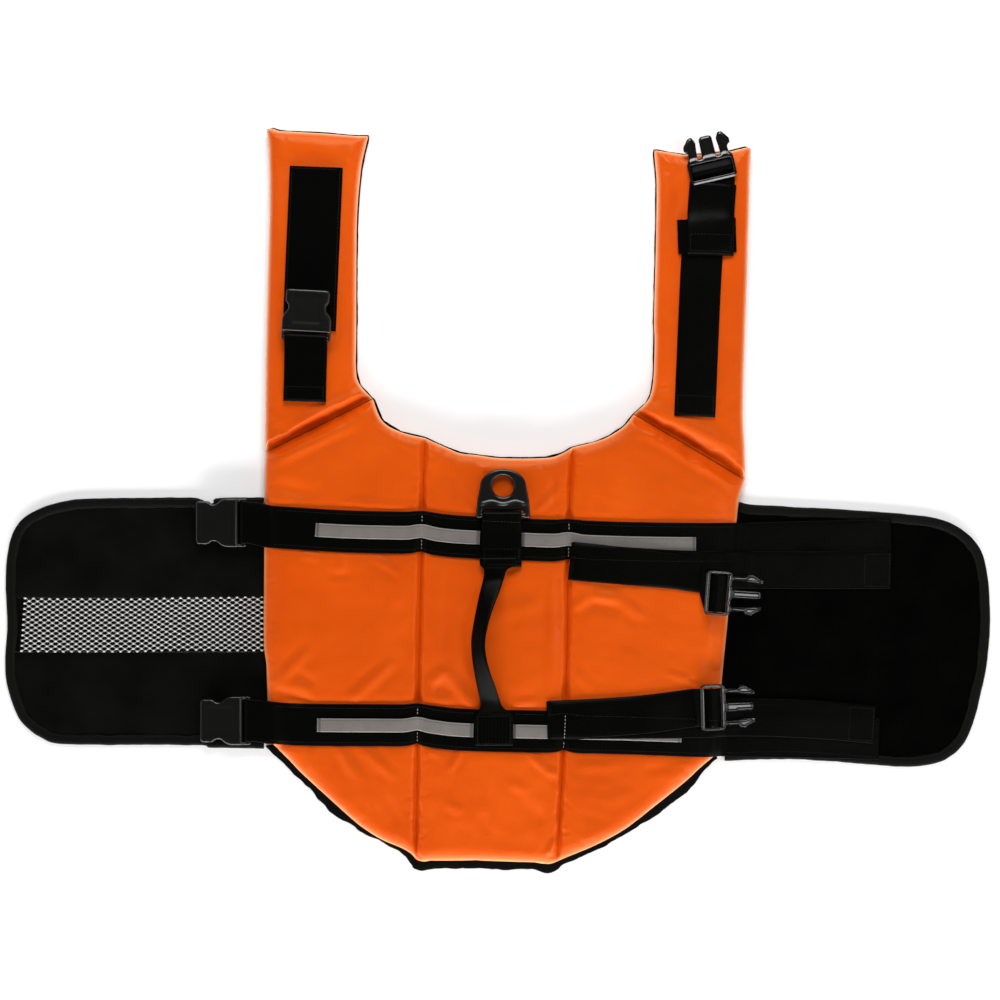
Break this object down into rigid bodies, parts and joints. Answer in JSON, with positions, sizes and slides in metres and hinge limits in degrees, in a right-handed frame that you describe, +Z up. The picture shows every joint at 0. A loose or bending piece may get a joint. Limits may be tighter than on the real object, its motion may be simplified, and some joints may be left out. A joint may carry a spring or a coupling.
{
  "type": "dog life jacket",
  "caption": "Padded dog life jacket, unbuckled and laid flat, with belly wings, neck arms, webbing bands, side-release buckles, a leash ring and a grab handle.",
  "frame": {"origin": "on the surface the jacket lies on, under the middle of its outline", "axes": "+X from the wing with the net strip to the plain wing, +Y from the tail toward the two neck arms, +Z up out of the surface"},
  "size_m": [0.8864, 0.6705, 0.0446],
  "materials": {
    "orange_oxford": "coated oxford cloth with a low sheen",
    "black_cloth": "matt mesh-faced cloth",
    "silver_net": "silver-grey net over black cloth",
    "black_webbing": "ribbed woven webbing",
    "reflective_tape": "silver-grey reflective tape, satin",
    "hook_tape": "matt hook-and-loop tape",
    "black_plastic": "moulded acetal, satin gloss"
  },
  "bodies": {
    "jacket": {"lining": "black_cloth", "wing_binding_left": "black_cloth", "wing_binding_right": "black_cloth", "wing_cloth_left_upper": "black_cloth", "wing_cloth_left_lower": "black_cloth", "wing_cloth_right": "black_cloth", "wing_net_strip_left": "silver_net", "foam_back_middle": "orange_oxford", "foam_back_left": "orange_oxford", "foam_back_right": "orange_oxford", "foam_neck_arm_left": "orange_oxford", "foam_neck_arm_right": "orange_oxford", "band_upper": "black_webbing", "band_lower": "black_webbing", "tape_upper_left": "reflective_tape", "tape_upper_right": "reflective_tape", "tape_lower_left": "reflective_tape", "tape_lower_right": "reflective_tape", "strap_upper_back_run": "black_webbing", "strap_upper_front_run": "black_webbing", "strap_lower_back_run": "black_webbing", "strap_lower_front_run": "black_webbing", "buckle_plug_upper": "black_plastic", "buckle_plug_lower": "black_plastic", "buckle_plug_neck": "black_plastic", "ring_tab": "black_webbing", "grab_handle": "black_webbing", "hook_strip_left": "hook_tape", "hook_patch_right": "hook_tape", "neck_webbing_left": "black_webbing", "neck_webbing_right": "black_webbing", "neck_strap_tail": "black_webbing"},
    "socket_upper": {"buckle_socket_upper": "black_plastic"},
    "socket_lower": {"buckle_socket_lower": "black_plastic"},
    "socket_neck": {"buckle_socket_neck": "black_plastic"},
    "ring": {"leash_ring": "black_plastic"}
  },
  "joints": [
    {"name": "socket_upper_flip", "type": "hinge", "parent": "jacket", "child": "socket_upper", "pos_m": [-0.228, -0.0196, 0.0081], "axis": [0, 1, 0], "range_deg": [0, 100]},
    {"name": "socket_lower_flip", "type": "hinge", "parent": "jacket", "child": "socket_lower", "pos_m": [-0.224, -0.1976, 0.0081], "axis": [0, 1, 0], "range_deg": [0, 100]},
    {"name": "socket_neck_flip", "type": "hinge", "parent": "jacket", "child": "socket_neck", "pos_m": [-0.1705, 0.1455, 0.02235], "axis": [0.9986, -0.0523, 0], "range_deg": [0, 100]},
    {"name": "leash_ring_swing", "type": "hinge", "parent": "jacket", "child": "ring", "pos_m": [0.0055, -0.0126, 0.02092], "axis": [1, 0, 0], "range_deg": [0, 130]}
  ]
}
